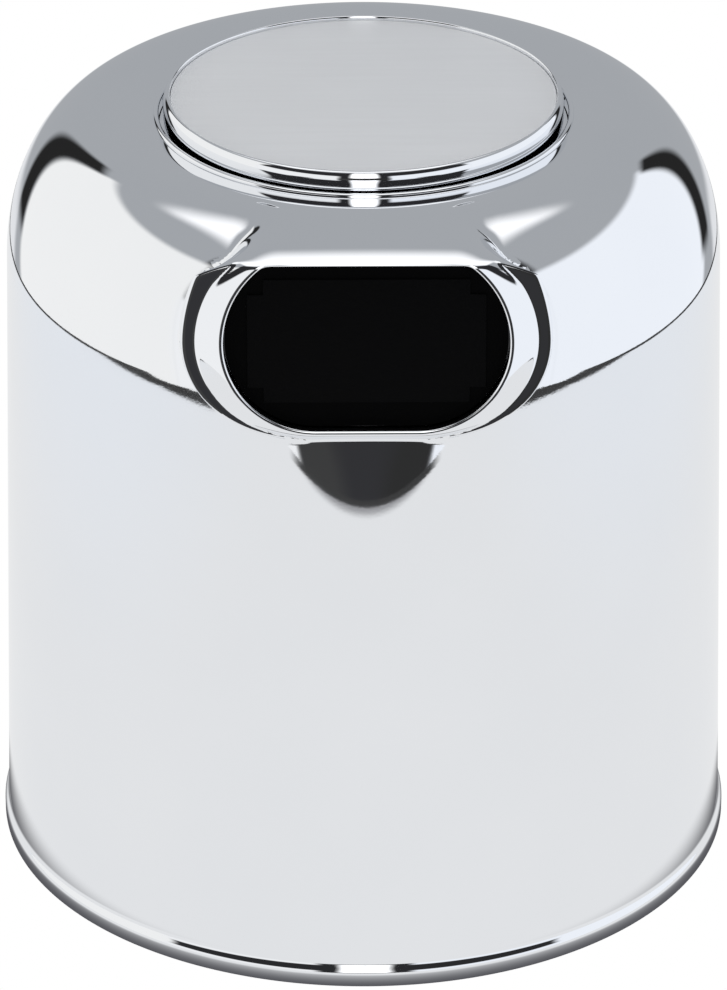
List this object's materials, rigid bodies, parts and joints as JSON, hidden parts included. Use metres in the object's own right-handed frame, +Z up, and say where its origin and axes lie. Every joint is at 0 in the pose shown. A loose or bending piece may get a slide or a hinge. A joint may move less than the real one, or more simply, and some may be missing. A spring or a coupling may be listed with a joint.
{
  "type": "wheel center cap",
  "caption": "Tall hollow chrome wheel center cap with a tapered skirt, thin bottom lip, rounded shoulder, round medallion on top and a hooded window with a black badge plate.",
  "frame": {"origin": "centre of the base plane, the underside of the bottom lip", "axes": "+Z up the axis of the cap from its open mouth to the medallion, window facing -Y, +X to the right as seen from the front"},
  "size_m": [0.109, 0.109, 0.1169],
  "materials": {
    "chrome_body": "bright chrome plating on moulded plastic",
    "chrome_rim": "bright chrome plating on moulded plastic",
    "satin_disc": "satin aluminium, fine grain",
    "black_badge": "satin black moulded plastic"
  },
  "bodies": {
    "root": {"cap_body": "chrome_body", "medallion": "chrome_rim", "emblem_disc": "satin_disc", "badge_plate": "black_badge"}
  },
  "joints": []
}
